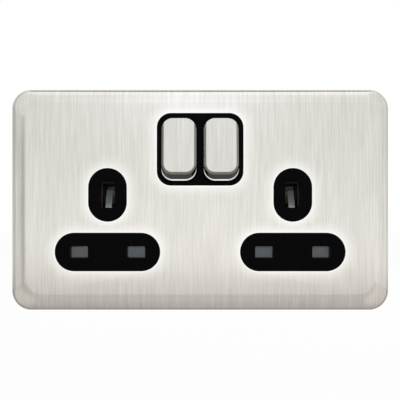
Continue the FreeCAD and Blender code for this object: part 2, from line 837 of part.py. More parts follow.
def bead_tongue(x, bar_z):
    # a tongue with the bead that the see-saw rocks on
    half = contact_width / 2
    rear = front_strip_y + strip
    far = rocker_z + math.copysign(tongue_overlap, rocker_z - bar_z)
    tongue = block(x - half, x + half, front_strip_y, rear, bar_z, far)
    bead = rod(V(x - half, seesaw_axis_y, rocker_z), V(1, 0, 0), bead_radius, contact_width)
    web = block(x - half, x + half, seesaw_axis_y, front_strip_y,
                rocker_z - bead_web / 2, rocker_z + bead_web / 2)
    return [tongue, bead, web]


def busbar(bar_z, terminal_x, tongue_places):
    half = contact_width / 2
    reach = tongue_places + [terminal_x]
    bar = block(min(reach) - half, max(reach) + half, front_strip_y, front_strip_y + strip,
                bar_z - busbar_height / 2, bar_z + busbar_height / 2)
    leg = block(terminal_x - half, terminal_x + half, front_strip_y, front_strip_y + strip,
                terminal_top, bar_z)
    pieces = [leg]
    for x in tongue_places:
        pieces += bead_tongue(x, bar_z)
    return bar.fuse(pieces).removeSplitter()


def earth_clip(x):
    back = earth_strip_y - strip / 2
    grip = (earth_pin_width - pin_grip + strip) / 2
    belly = grip + strip
    mouth = grip + clip_flare
    neck = earth_clip_mouth + clip_neck
    low = earth_row_z - earth_clip_height / 2
    path = [
        V(x + mouth, earth_clip_mouth, low),
        V(x + grip, neck, low),
        V(x + belly, back, low),
        V(x - belly, back, low),
        V(x - grip, neck, low),
        V(x - mouth, earth_clip_mouth, low),
    ]
    clip = bent_strip(path, strip, strip_bend, V(0, 0, 1), earth_clip_height)
    return clip.cut(rod_y(x, earth_row_z, rivet_radius, earth_strip_y - strip, earth_strip_y))


def earth_strap():
    half = earth_strap_height / 2
    rear = earth_strip_y + strip
    reach = outlet_pitch / 2 + half
    bar = block(-reach, reach, earth_strip_y, rear, earth_row_z - half, earth_row_z + half)
    legs = []
    for x in terminal_centres[1:3]:
        legs.append(block(x - earth_leg_width / 2, x + earth_leg_width / 2, earth_strip_y, rear,
                          terminal_top, earth_row_z))
    solid = bar.fuse(legs)
    holes = [rod_y(x, earth_row_z, rivet_radius, earth_strip_y, rear) for _, x in outlet_centres()]
    return solid.cut(holes).removeSplitter()


def earth_rivets():
    rivets = []
    for _, x in outlet_centres():
        front = earth_strip_y - strip
        rear = earth_strip_y + strip
        shank = rod_y(x, earth_row_z, rivet_radius, front, rear)
        inner_head = rod_y(x, earth_row_z, rivet_radius + rivet_head, rear, rear + rivet_head)
        rivets.append(shank.fuse(inner_head))
    return Part.makeCompound(rivets)


# Terminals: brass blocks with a wire bore from below and a clamping screw from behind

def terminal_block(x):
    half = terminal_width / 2
    low = terminal_top - terminal_height
    rear = terminal_front + terminal_depth
    solid = block(x - half, x + half, terminal_front, rear, low, terminal_top)
    bore = rod(V(x, wire_bore_y, low), V(0, 0, 1), wire_bore_radius, wire_bore_depth)
    thread = rod_y(x, low + terminal_height / 2, screw_radius + screw_clearance, wire_bore_y, rear)
    return solid.cut([bore, thread])


def terminal_screw(x):
    z = terminal_top - terminal_height / 2
    tip = wire_bore_y + wire_bore_radius + screw_back_off
    head_y = terminal_front + terminal_depth + screw_travel + screw_back_off
    shank = rod_y(x, z, screw_radius, tip, head_y)
    head = rod_y(x, z, screw_head_radius, head_y, head_y + screw_head_height)
    slot = block(x - screw_head_radius, x + screw_head_radius,
                 head_y + screw_head_height / 2, head_y + screw_head_height,
                 z - screw_slot / 2, z + screw_slot / 2)
    return shank.fuse(head).cut(slot)


# Shutters: two blades on a stem, and the ramp that the earth pin pushes down

def shutter(x):
    # the stem ends below the earth hole, so only the ramp's neck shows through it
    top = shutter_ramp_top - shutter_ramp_rise
    stem_top = earth_row_z - earth_hole_height / 2 - shutter_stem_drop
    foot = pole_row_z - shutter_half_height
    blades = block(x - shutter_half_width, x + shutter_half_width, shutter_front_y, shutter_rear_y,
                   foot, shutter_blade_top)
    stem = block(x - shutter_stem_half, x + shutter_stem_half, shutter_front_y, shutter_rear_y,
                 foot, stem_top)
    ramp_rear = shutter_front_y + shutter_ramp_rise
    profile = [
        (shutter_front_y, top),
        (ramp_rear, top + shutter_ramp_rise),
        (ramp_rear, top + shutter_ramp_rise / 2),
        (shutter_rear_y, shutter_window_top),
        (shutter_front_y, shutter_window_top),
    ]
    ramp = extruded_profile(profile, x - shutter_ramp_width / 2, x + shutter_ramp_width / 2)
    window = block(x - shutter_window_half, x + shutter_window_half, shutter_front_y, shutter_rear_y,
                   shutter_window_foot, shutter_window_top)
    return blades.fuse([stem, ramp]).cut(window).removeSplitter()


def shutter_spring(x):
    y = shutter_front_y + shutter_spring_radius + shutter_spring_wire
    return coil(V(x, y, spring_seat_z), V(0, 0, 1), shutter_spring_radius, shutter_spring_wire,
                shutter_spring_length, shutter_spring_turns)


def shutter_retainer(x):
    # plate behind the shutter, with windows for the pins, the ramp and the spring
    half = shutter_half_width + shutter_side_gap + retainer_lap
    margin = retainer_hole_margin
    seat = spring_seat_z
    solid = block(x - half, x + half, retainer_front_y, retainer_rear_y, retainer_foot, retainer_top)
    lug = block(x - shutter_window_half + shutter_gap, x + shutter_window_half - shutter_gap,
                shutter_front_y + shutter_gap, retainer_front_y, seat - retainer_thickness, seat)
    tools = []
    for side in (-1, 1):
        tools.append(block(x + side * pole_spacing / 2 - pole_pin_width / 2 - margin,
                           x + side * pole_spacing / 2 + pole_pin_width / 2 + margin,
                           retainer_front_y, retainer_rear_y,
                           pole_row_z - pole_pin_thickness / 2 - margin,
                           pole_row_z + pole_pin_thickness / 2 + margin))
    ramp_foot = shutter_ramp_top - shutter_ramp_rise - shutter_travel - margin
    tools.append(block(x - earth_pin_width / 2 - margin, x + earth_pin_width / 2 + margin,
                       retainer_front_y, retainer_rear_y, ramp_foot - shutter_window_half,
                       earth_row_z + earth_pin_height / 2 + margin))
    tools.append(block(x - shutter_window_half, x + shutter_window_half,
                       retainer_front_y, retainer_rear_y, seat, shutter_window_top))
    for place_x, place_z in housing_screw_places():
        tools.append(rod_y(place_x, place_z, housing_screw_radius + shutter_gap,
                           retainer_front_y, retainer_rear_y))
    return solid.fuse(lug).cut(tools).removeSplitter()


def build_all():
    os.makedirs("parts", exist_ok=True)
    save("front_plate", front_plate())
    save("plate_liner", plate_liner())
    save("front_moulding", front_moulding())
    save("mounting_yoke", mounting_yoke())
    save("rear_moulding", rear_moulding())
    save("housing_screws", housing_screws())
    for name, x in rocker_centres():
        save(name + "_rocker", switch_off(rocker_body(), x))
        save(name + "_rocker_cap", switch_off(rocker_cap(), x))
        save(name + "_on_flag", switch_off(on_flag(), x))
    tips = []
    for name, pole, x in pole_places():
        save(name + "_" + pole + "_plunger", switch_off(plunger(), x))
        save(name + "_" + pole + "_plunger_spring", switch_off(plunger_spring(), x))
        save(name + "_" + pole + "_moving_contact", moving_contact(x))
        tips.append(fixed_tip(x))
    save("fixed_contact_tips", Part.makeCompound(tips))
    save("left_line_conductor", near_conductor(-1))
    save("left_neutral_conductor", far_conductor(-1))
    save("right_neutral_conductor", near_conductor(1))
    save("right_line_conductor", far_conductor(1))
    outer = rocker_pitch / 2 + pole_offset
    inner = rocker_pitch / 2 - pole_offset
    save("line_busbar", busbar(line_bar_z, terminal_centres[0], [-outer, inner]))
    save("neutral_busbar", busbar(neutral_bar_z, terminal_centres[3], [-inner, outer]))
    save("earth_strap", earth_strap())
    save("earth_rivets", earth_rivets())
    for name, x in outlet_centres():
        save(name + "_earth_clip", earth_clip(x))
        save(name + "_shutter", shutter(x))
        save(name + "_shutter_spring", shutter_spring(x))
        save(name + "_shutter_retainer", shutter_retainer(x))
    terminals = ("line", "left_earth", "right_earth", "neutral")
    for name, x in zip(terminals, terminal_centres):
        save(name + "_terminal", terminal_block(x))
        save(name + "_terminal_screw", terminal_screw(x))


build_all()
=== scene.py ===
import json
import math

import bmesh
import bpy
from mathutils import Matrix, Vector


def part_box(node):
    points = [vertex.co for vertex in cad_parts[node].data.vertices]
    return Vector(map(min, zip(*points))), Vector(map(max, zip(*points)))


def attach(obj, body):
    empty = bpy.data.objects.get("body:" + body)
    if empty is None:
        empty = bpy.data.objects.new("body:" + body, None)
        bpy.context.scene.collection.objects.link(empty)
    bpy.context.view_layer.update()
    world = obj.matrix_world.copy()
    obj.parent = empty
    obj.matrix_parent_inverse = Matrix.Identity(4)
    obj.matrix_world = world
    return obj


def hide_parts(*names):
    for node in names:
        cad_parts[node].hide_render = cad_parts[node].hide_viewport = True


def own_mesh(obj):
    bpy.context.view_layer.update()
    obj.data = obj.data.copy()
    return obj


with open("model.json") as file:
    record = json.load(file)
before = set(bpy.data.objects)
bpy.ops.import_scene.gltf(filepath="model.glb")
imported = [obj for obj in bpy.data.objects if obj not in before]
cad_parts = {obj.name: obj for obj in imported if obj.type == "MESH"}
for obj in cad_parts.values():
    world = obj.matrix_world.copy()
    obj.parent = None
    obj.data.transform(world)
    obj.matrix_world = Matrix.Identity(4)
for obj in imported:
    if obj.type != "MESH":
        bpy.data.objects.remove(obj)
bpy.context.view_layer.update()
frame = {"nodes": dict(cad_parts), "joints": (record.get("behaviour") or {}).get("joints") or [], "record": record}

nodes = frame["nodes"]
mm = 0.001


# Shader maths: + - * / on a wrapped socket add Math nodes to its tree

class Socket:
    def __init__(self, tree, output=None):
        self.tree = tree
        self.output = output

    def node(self, kind, settings=None, inputs=None, result=0):
        made = self.tree.nodes.new(kind)
        for name, value in (settings or {}).items():
            if name == "stops":
                fillRamp(made.color_ramp, value)
            else:
                setattr(made, name, value)
        for name, value in (inputs or {}).items():
            if isinstance(value, Socket):
                self.tree.links.new(value.output, made.inputs[name])
            else:
                made.inputs[name].default_value = value
        return Socket(self.tree, made.outputs[result] if made.outputs else None)

    def other(self, result):
        return Socket(self.tree, self.output.node.outputs[result])

    def math(self, operation, *values):
        inputs = {place: value for place, value in enumerate(values)}
        return self.node("ShaderNodeMath", {"operation": operation}, inputs)

    def limited(self):
        return self.node("ShaderNodeMath", {"operation": "ADD", "use_clamp": True}, {0: self, 1: 0.0})

    def __add__(self, other):
        return self.math("ADD", self, other)

    def __radd__(self, other):
        return self.math("ADD", other, self)

    def __sub__(self, other):
        return self.math("SUBTRACT", self, other)

    def __rsub__(self, other):
        return self.math("SUBTRACT", other, self)

    def __mul__(self, other):
        return self.math("MULTIPLY", self, other)

    def __rmul__(self, other):
        return self.math("MULTIPLY", other, self)

    def __truediv__(self, other):
        return self.math("DIVIDE", self, other)

    def __rtruediv__(self, other):
        return self.math("DIVIDE", other, self)

    def __pow__(self, other):
        return self.math("POWER", self, other)


def fillRamp(ramp, stops):
    for place, (position, colour) in enumerate(stops):
        shade = colour if isinstance(colour, tuple) else (colour,) * 3
        if place == 0:
            element = ramp.elements[0]
        elif place == len(stops) - 1:
            element = ramp.elements[-1]
        else:
            element = ramp.elements.new(position)
        element.position = position
        element.color = (*shade, 1.0)


def blend(root, low, high, factor, mode="MIX"):
    ends = [(*end, 1.0) if isinstance(end, tuple) else end for end in (low, high)]
    settings = {"data_type": "RGBA", "blend_type": mode, "clamp_factor": True}
    return root.node("ShaderNodeMix", settings, {0: factor, 6: ends[0], 7: ends[1]}, 2)


def objectPlace(root):
    return root.node("ShaderNodeTexCoord", {}, {}, "Object")


def stretchedNoise(root, perMetre, detail=2.0, coarse=0.5):
    # noise whose lumps per metre are given along X, Y and Z
    factors = {0: objectPlace(root), 1: perMetre}
    spread = root.node("ShaderNodeVectorMath", {"operation": "MULTIPLY"}, factors)
    inputs = {"Vector": spread, "Scale": 1.0, "Detail": detail, "Roughness": coarse}
    return root.node("ShaderNodeTexNoise", {"noise_dimensions": "3D"}, inputs, "Fac")


def bumped(root, height, depth, strength):
    inputs = {"Height": height, "Distance": depth * mm, "Strength": strength}
    return root.node("ShaderNodeBump", {}, inputs)


def surface(name, make, metallic=0.0, **fixed):
    # make(root) gives the sockets that vary, fixed gives those that are the same all over
    material = bpy.data.materials.new(name)
    material.use_nodes = True
    material.node_tree.nodes.clear()
    root = Socket(material.node_tree)
    inputs = {"Metallic": metallic, **fixed, **make(root)}
    shader = root.node("ShaderNodeBsdfPrincipled", {}, inputs)
    root.node("ShaderNodeOutputMaterial", {}, {"Surface": shader})
    return material


# Camera: straight on, from where a 147 mm plate fills the photograph's frame

cameraLook = {
    "place": (-0.05 * mm, -408 * mm, -0.07 * mm),
    "lens": 92.7,
    "sensor": 36.0,
}


def makeCamera(look):
    data = bpy.data.cameras.new("front_camera")
    data.lens = look["lens"]
    data.sensor_width = look["sensor"]
    data.clip_start = 0.01
    camera = bpy.data.objects.new("front_camera", data)
    camera.location = look["place"]
    camera.rotation_euler = (math.radians(90), 0, 0)
    bpy.context.scene.collection.objects.link(camera)
    bpy.context.scene.camera = camera


makeCamera(cameraLook)
print("camera placed")


# Studio: what metal sees of the room is bright ahead, dimmer to the left, the sides and below

skyLook = {
    "gain": 1.4,                                  # the ramps hold shares of this
    "byHeight": (                                 # degrees up, light
        (-90, (0.40, 0.40, 0.40)), (-82, (0.60, 0.59, 0.58)), (-64, (0.60, 0.59, 0.575)),
        (-35, (0.68, 0.66, 0.645)), (-12, (0.71, 0.685, 0.67)), (-8, (0.69, 0.66, 0.65)),
        (-5.6, (0.665, 0.635, 0.625)), (-5.1, (0.67, 0.64, 0.63)), (-4.7, (0.79, 0.77, 0.76)),
        (-4.3, (1.12, 1.11, 1.11)), (-3.8, (1.23, 1.23, 1.23)), (-1.5, (1.13, 1.13, 1.13)),
        (0.5, (1.07, 1.07, 1.07)), (3, (1.02, 1.02, 1.02)), (8, (1.0, 1.0, 1.0)),
        (14, (0.98, 0.98, 0.98)), (18, (1.06, 1.06, 1.06)), (28, (1.04, 1.04, 1.04)),
        (50, (1.10, 1.10, 1.10)), (60, (1.28, 1.28, 1.28)), (70, (1.40, 1.40, 1.40)),
        (76, (0.75, 0.75, 0.75)), (81, (0.40, 0.40, 0.41)), (90, (0.32, 0.32, 0.33))),
    "bySide": (                                   # degrees right, share
        (-180, 0.70), (-112, 0.68), (-95, 0.66), (-82, 0.62), (-70, 0.61), (-63, 0.86),
        (-12, 0.92), (-8, 0.95), (-5, 0.965), (-1, 1.0), (5, 0.985), (9, 0.95), (14, 0.96),
        (24, 0.95), (40, 0.89), (60, 0.83), (69, 0.93), (82, 0.78), (95, 0.68), (112, 0.68),
        (180, 0.70)),
    "leftDark": (                                 # a dark stand to the left, share
        (-68, 1.0), (-60, 0.91), (-52, 0.88), (-44, 0.84), (-37, 0.79), (-31, 0.70),
        (-26, 0.58), (-22, 0.56), (-18, 0.66), (-14.5, 0.90), (-12, 1.0)),
    "darkHeights": ((-18, 0.15), (-5.5, 1.0), (3.6, 1.0), (4.6, 0.7), (6.0, 0.0)),
    "glows": (                                    # lights added above, and low at both sides
        {"sides": (
            (-8, 0.0), (-5.5, 0.40), (-4, 0.80), (-2.5, 1.0), (1.2, 1.0), (2.6, 0.70), (4, 0.30),
            (6.5, 0.0)),
         "heights": (
             (3.8, 0.0), (4.8, 0.78), (10, 0.80), (16, 1.0), (40, 0.9), (60, 0.5), (70, 0.0)),
         "light": (0.25, 0.275, 0.35)},
        {"sides": (
            (-80, 0.0), (-62, 1.0), (-20, 1.0), (-11, 0.0), (11, 0.0), (20, 1.0), (62, 1.0),
            (80, 0.0)),
         "heights": ((-70, 0.0), (-35, 0.8), (-7, 1.0), (-5, 1.0), (-4.2, 0.0)),
         "light": (0.20, 0.19, 0.185)}),
    "plain": 0.08,                                # light on what isn't glossy
}
lampLook = {
    "key": {"place": (-0.5, -1.2, 1.1), "size": 1.3, "watts": 1.5},
    "front": {"place": (0.0, -1.5, 0.12), "size": 0.25, "watts": 11.0},
    "fill": {"place": (0.9, -1.1, 0.3), "size": 1.1, "watts": 1.2},
    "back": {"place": (0.4, 1.3, 0.9), "size": 1.2, "watts": 12.0},
}
floorLook = {
    "height": -0.14,
    "half": 4.0,
    "colour": (0.90, 0.90, 0.90),
    "glow": 0.97,                                 # share of plain white that the camera sees
}


def makeSky(look):
    world = bpy.data.worlds.new("studio")
    bpy.context.scene.world = world
    world.use_nodes = True
    world.node_tree.nodes.clear()
    root = Socket(world.node_tree)
    direction = root.node("ShaderNodeTexCoord", {}, {}, "Generated")
    x = root.node("ShaderNodeSeparateXYZ", {}, {0: direction}, "X")
    turn = root.math("ARCTAN2", x, 0 - x.other("Y")) / (2 * math.pi) + 0.5
    rise = root.math("ARCSINE", x.other("Z")) / math.pi + 0.5
    gain = look["gain"]

    def heights(stops):
        return [((degrees + 90) / 180, value) for degrees, value in stops]

    def sides(stops):
        return [((degrees + 180) / 360, value) for degrees, value in stops]

    shares = [(degrees, tuple(part / gain for part in value)) for degrees, value in look["byHeight"]]
    byHeight = root.node("ShaderNodeValToRGB", {"stops": heights(shares)}, {0: rise})
    bySide = root.node("ShaderNodeValToRGB", {"stops": sides(look["bySide"])}, {0: turn})
    dark = root.node("ShaderNodeValToRGB", {"stops": sides(look["leftDark"])}, {0: turn})
    darkUp = root.node("ShaderNodeValToRGB", {"stops": heights(look["darkHeights"])}, {0: rise})
    room = blend(root, blend(root, byHeight, bySide, 1.0, "MULTIPLY"), dark, darkUp, "MULTIPLY")
    for glow in look["glows"]:
        across = root.node("ShaderNodeValToRGB", {"stops": sides(glow["sides"])}, {0: turn})
        up = root.node("ShaderNodeValToRGB", {"stops": heights(glow["heights"])}, {0: rise})
        light = tuple(part / gain for part in glow["light"])
        room = blend(root, room, blend(root, (0.0, 0.0, 0.0), light, across * up), 1.0, "ADD")
    glossy = root.node("ShaderNodeBackground", {}, {"Color": room, "Strength": gain})
    plain = root.node("ShaderNodeBackground", {}, {"Color": (1, 1, 1, 1), "Strength": look["plain"]})
    white = root.node("ShaderNodeBackground", {}, {"Color": (1, 1, 1, 1), "Strength": 1.0})
    path = root.node("ShaderNodeLightPath", {}, {}, "Is Camera Ray")
    seen = root.node("ShaderNodeMixShader", {}, {0: path.other("Is Diffuse Ray"), 1: glossy, 2: plain})
    shown = root.node("ShaderNodeMixShader", {}, {0: path, 1: seen, 2: white})
    root.node("ShaderNodeOutputWorld", {}, {"Surface": shown})


def makeLamp(name, look):
    data = bpy.data.lights.new(name, "AREA")
    data.shape = "SQUARE"
    data.size = look["size"]
    data.energy = look["watts"]
    lamp = bpy.data.objects.new(name, data)
    lamp.location = look["place"]
    lamp.rotation_euler = (-Vector(look["place"])).to_track_quat("-Z", "Y").to_euler()
    lamp.visible_glossy = False                   # the metal mirrors the room, not the lamps
    bpy.context.scene.collection.objects.link(lamp)


def makeFloor(look):
    half = look["half"]
    mesh = bpy.data.meshes.new("floor")
    corners = [(-half, -half), (half, -half), (half, half), (-half, half)]
    mesh.from_pydata([(x, y, look["height"]) for x, y in corners], [], [(0, 1, 2, 3)])
    floor = bpy.data.objects.new("floor", mesh)
    bpy.context.scene.collection.objects.link(floor)
    material = bpy.data.materials.new("pale_floor")
    material.use_nodes = True
    material.node_tree.nodes.clear()
    root = Socket(material.node_tree)
    matt = root.node("ShaderNodeBsdfDiffuse", {}, {"Color": (*look["colour"], 1.0)})
    glow = root.node("ShaderNodeEmission", {}, {"Color": (1, 1, 1, 1), "Strength": 1.0})
    path = root.node("ShaderNodeLightPath", {}, {}, "Is Camera Ray")
    mixed = root.node("ShaderNodeMixShader", {}, {0: path * look["glow"], 1: matt, 2: glow})
    root.node("ShaderNodeOutputMaterial", {}, {"Surface": mixed})
    mesh.materials.append(material)
    floor.visible_glossy = False                  # so that metal mirrors the room's lower half


bpy.context.scene.view_settings.view_transform = "Standard"
makeSky(skyLook)
for lampName, look in lampLook.items():
    makeLamp(lampName, look)
makeFloor(floorLook)
print("studio lit")


# Cut-outs of the face plate, in millimetres: centre, width, height and corner radius

cutOuts = {
    "leftEarth": (-36.0, 1.9, 14.85, 20.7, 7.42),
    "rightEarth": (36.0, 1.9, 14.85, 20.7, 7.42),
    "leftPoles": (-36.0, -20.3, 40.8, 14.8, 7.39),
    "rightPoles": (36.0, -20.3, 40.8, 14.8, 7.39),
    "bezel": (0.0, 19.6, 33.4, 28.0, 5.4),
}


# Finishes: colours are linear, noise is in lumps per metre, bumps are depth in millimetres and strength

plateFinish = {
    "dark": (0.650, 0.628, 0.580),
    "light": (0.790, 0.770, 0.718),
    # a painted glow round each cut-out, lighter near its edge
    "paintedGlowColour": (0.905, 0.895, 0.865),
    "paintedGlowReach": 6.0,                             # millimetres from a cut-out, over which the painted glow fades
    # a painted highlight along the lip of each cut-out
    "lip": (0.97, 0.97, 0.96),
    "lipHighlightReach": 0.35,                             # over which the lip's painted highlight fades
    "lipHighlightFull": 0.6,                               # of that reach, where the fade starts
    "grain": ((600, 30, 0.25), (1500, 60, 0.45), (3800, 130, 0.30)),
    "overEdge": 0.08,
    "contrast": 3.2,
    "roughness": (0.10, 0.15),
    "bump": (0.012, 0.5),
}
capFinish = {
    "dark": (0.545, 0.530, 0.478),
    "light": (0.705, 0.687, 0.624),
    "grain": ((900, 45, 0.25), (2200, 80, 0.40), (6000, 160, 0.35)),
    "overEdge": 0.03,
    "contrast": 3.2,
    "roughness": (0.16, 0.24),
    "bump": (0.012, 0.5),
}
zincFinish = {
    "dark": (0.50, 0.51, 0.52),
    "light": (0.66, 0.67, 0.67),
    "clouds": ((90, 90, 90), 4.0),
    "spangle": (0.58, 0.60, 0.60),
    "spangleScale": 420.0,
    "spangleShare": 0.35,
    "marks": ((2600, 2600, 400), 2.0),
    "roughness": (0.26, 0.42),
    "bump": (0.006, 0.4),
}
copperFinish = {
    "dark": (0.50, 0.29, 0.18),
    "light": (0.70, 0.45, 0.31),
    "clouds": ((260, 260, 260), 5.0, 0.6),
    "marks": ((2800, 2800, 300), 2.0),
    "roughness": (0.24, 0.39),
    "bump": (0.005, 0.4),
}
shutterFinish = {
    "dark": (0.122, 0.134, 0.141),
    "light": (0.143, 0.156, 0.164),
    "paintedLightColour": (0.34, 0.36, 0.37),              # painted light: the ramp lighter towards its lower end
    "paintedLightSpan": (-3.5, 5.5),                        # millimetres up, from the most painted light to the least
    "bladesBelow": -8.0,
    "marks": ((1800, 200, 90), 2.0),
    "roughness": (0.4, 0.5),
}
metalNoise = {"clouds": ((180, 180, 180), 4.0), "marks": ((3000, 3000, 900), 2.0), "bump": (0.004, 0.4)}
metalLooks = {
    "spring_steel": {
        "name": "spring_wire", "roughness": (0.16, 0.30),
        "dark": (0.42, 0.42, 0.43), "light": (0.60, 0.60, 0.60)},
    "brass_strip": {
        "name": "dull_rolled_brass", "roughness": (0.50, 0.62),
        "dark": (0.46, 0.42, 0.30), "light": (0.58, 0.53, 0.39)},
    "contact_silver": {
        "name": "silver_contact", "roughness": (0.14, 0.28),
        "dark": (0.74, 0.73, 0.70), "light": (0.88, 0.87, 0.85)},
    "terminal_brass": {
        "name": "drawn_brass", "roughness": (0.22, 0.38),
        "dark": (0.60, 0.44, 0.19), "light": (0.78, 0.61, 0.30)},
    "plated_screw": {
        "name": "plated_screw", "roughness": (0.18, 0.34),
        "dark": (0.56, 0.57, 0.57), "light": (0.72, 0.73, 0.73)},
    # the cap's lip: the cap's steel, polished, with a painted highlight in its lighter colour
    "lip_painted_highlight": {
        "name": "bright_cap_lip", "roughness": (0.10, 0.20),
        "dark": (0.76, 0.75, 0.73), "light": (0.84, 0.83, 0.81)},
    # the cap's bevel: the cap's steel, with painted shade in its darker colour
    "side_painted_shade": {
        "name": "dark_cap_side", "roughness": (0.14, 0.24),
        "dark": (0.24, 0.235, 0.225), "light": (0.28, 0.275, 0.263)},
    # the cap's steep walls: the cap's steel, with a dark painted shade
    "foot_painted_shade": {
        "name": "dark_foot_painted_shade", "roughness": (0.20, 0.30),
        "dark": (0.10, 0.10, 0.096), "light": (0.13, 0.13, 0.125)},
}
plasticNoise = {"clouds": ((70, 70, 70), 3.0), "skin": ((5200, 5200, 5200), 2.0), "bump": (0.008, 0.6)}
plasticLooks = {
    "black_moulding": {
        "name": "satin_black_moulding", "roughness": (0.30, 0.42),
        "dark": (0.0006, 0.0006, 0.0008), "light": (0.0012, 0.0012, 0.0013),
        "fixed": {"Specular IOR Level": 0.035}},
    "liner_plastic": {
        "name": "matt_black_liner", "roughness": (0.50, 0.60),
        "dark": (0.004, 0.004, 0.004), "light": (0.007, 0.007, 0.007),
        "fixed": {"Specular IOR Level": 0.25}},
    "rear_plastic": {
        "name": "dark_thermoset", "roughness": (0.42, 0.58), "bump": (0.016, 0.6),
        "dark": (0.010, 0.010, 0.011), "light": (0.022, 0.022, 0.023),
        "fixed": {"Specular IOR Level": 0.4}},
    "rocker_plastic": {
        "name": "satin_black_rocker", "roughness": (0.32, 0.45),
        "dark": (0.003, 0.003, 0.003), "light": (0.006, 0.006, 0.006),
        "fixed": {"Specular IOR Level": 0.15}},
    "flag_red": {
        "name": "red_flag", "roughness": (0.28, 0.38),
        "dark": (0.50, 0.012, 0.010), "light": (0.62, 0.022, 0.016)},
    "plunger_nylon": {
        "name": "natural_nylon", "roughness": (0.36, 0.50),
        "dark": (0.60, 0.58, 0.50), "light": (0.72, 0.70, 0.63),
        "fixed": {"Subsurface Weight": 0.15, "Subsurface Scale": 0.6 * mm}},
    "retainer_plastic": {
        "name": "dark_retainer", "roughness": (0.42, 0.55),
        "dark": (0.018, 0.018, 0.019), "light": (0.030, 0.030, 0.031)},
    "mark_paint": {
        "name": "pale_filled_mark", "roughness": (0.45, 0.60),
        "dark": (0.30, 0.30, 0.29), "light": (0.38, 0.38, 0.37)},
}


def between(ends, share):
    low, high = ends
    return share * (high - low) + low


def outlineDistance(x, z, cut):
    centreX, centreZ, width, height, radius = (value * mm for value in cut)
    besideX = x.math("ABSOLUTE", x - centreX) - (width / 2 - radius)
    besideZ = x.math("ABSOLUTE", z - centreZ) - (height / 2 - radius)
    outX = x.math("MAXIMUM", besideX, 0.0)
    outZ = x.math("MAXIMUM", besideZ, 0.0)
    return x.math("SQRT", outX * outX + outZ * outZ) - radius


def brushed(root, look):
    # overEdge is under 1, because the lines run on over an edge that was bent after the brushing
    grain = 0.0
    for across, along, weight in look["grain"]:
        grain = stretchedNoise(root, (across, across * look["overEdge"], along)) * weight + grain
    streaks = ((grain - 0.5) * look["contrast"] + 0.5).limited()
    return {"Base Color": blend(root, look["dark"], look["light"], streaks),
            "Roughness": between(look["roughness"], grain),
            "Normal": bumped(root, grain, *look["bump"])}


def plateSteel(root):
    look = plateFinish
    inputs = brushed(root, look)
    x = root.node("ShaderNodeSeparateXYZ", {}, {0: objectPlace(root)}, "X")
    side = x.math("ABSOLUTE", x)                  # both halves are alike
    near = [outlineDistance(side, x.other("Z"), cutOuts[name])
            for name in ("rightEarth", "rightPoles", "bezel")]
    nearest = x.math("MINIMUM", x.math("MINIMUM", near[0], near[1]), near[2])
    # painted glow: the plate's colour lighter towards the cut-outs
    paintedGlow = (1.0 - nearest / (look["paintedGlowReach"] * mm)).limited() ** 2
    # painted highlight along the lip of each cut-out
    lip = (1.0 + look["lipHighlightFull"] - nearest / (look["lipHighlightReach"] * mm)).limited()
    colour = blend(root, inputs["Base Color"], look["paintedGlowColour"], paintedGlow)
    inputs["Base Color"] = blend(root, colour, look["lip"], lip)
    return inputs


def capSteel(root):
    return brushed(root, capFinish)


def zincPlate(root):
    look = zincFinish
    inputs = {"Vector": objectPlace(root), "Scale": look["spangleScale"]}
    spangle = root.node("ShaderNodeTexVoronoi", {}, inputs, "Color")
    spangle = root.node("ShaderNodeSeparateXYZ", {}, {0: spangle}, "X") * look["spangleShare"]
    colour = blend(root, look["dark"], look["light"], stretchedNoise(root, *look["clouds"]))
    marks = stretchedNoise(root, *look["marks"])
    return {"Base Color": blend(root, colour, look["spangle"], spangle),
            "Roughness": between(look["roughness"], marks),
            "Normal": bumped(root, marks, *look["bump"])}


def copperStrip(root):
    look = copperFinish
    colour = blend(root, look["dark"], look["light"], stretchedNoise(root, *look["clouds"]))
    marks = stretchedNoise(root, *look["marks"])
    return {"Base Color": colour,
            "Roughness": between(look["roughness"], marks),
            "Normal": bumped(root, marks, *look["bump"])}


def shutterGrey(root):
    look = shutterFinish
    cloud = stretchedNoise(root, *plasticNoise["clouds"])
    skin = stretchedNoise(root, *plasticNoise["skin"])
    marks = stretchedNoise(root, *look["marks"])
    z = root.node("ShaderNodeSeparateXYZ", {}, {0: objectPlace(root)}, "Z") / mm
    # painted light on the ramp: lighter towards its lower end, none on the blades below
    low, high = look["paintedLightSpan"]
    paintedLightShare = ((high - z) / (high - low)).limited() ** 2
    ramp = (z - look["bladesBelow"]).limited()
    colour = blend(root, look["dark"], look["light"], cloud)
    colour = blend(root, colour, look["paintedLightColour"], (paintedLightShare * ramp * (marks + 0.5)).limited())
    return {"Base Color": colour,
            "Roughness": between(look["roughness"], cloud),
            "Normal": bumped(root, skin, *plasticNoise["bump"])}


def polished(look):
    # drawn or pressed metal: faint clouds in its colour and fine marks that scatter the shine
    def make(root):
        cloud = stretchedNoise(root, *metalNoise["clouds"])
        marks = stretchedNoise(root, *metalNoise["marks"])
        return {"Base Color": blend(root, look["dark"], look["light"], cloud),
                "Roughness": between(look["roughness"], marks),
                "Normal": bumped(root, marks, *metalNoise["bump"])}
    return make


def moulded(look):
    # moulded plastic: a spark-eroded skin, with flow clouds in the shine
    def make(root):
        cloud = stretchedNoise(root, *plasticNoise["clouds"])
        skin = stretchedNoise(root, *plasticNoise["skin"])
        return {"Base Color": blend(root, look["dark"], look["light"], cloud),
                "Roughness": between(look["roughness"], cloud),
                "Normal": bumped(root, skin, *look.get("bump", plasticNoise["bump"]))}
    return make


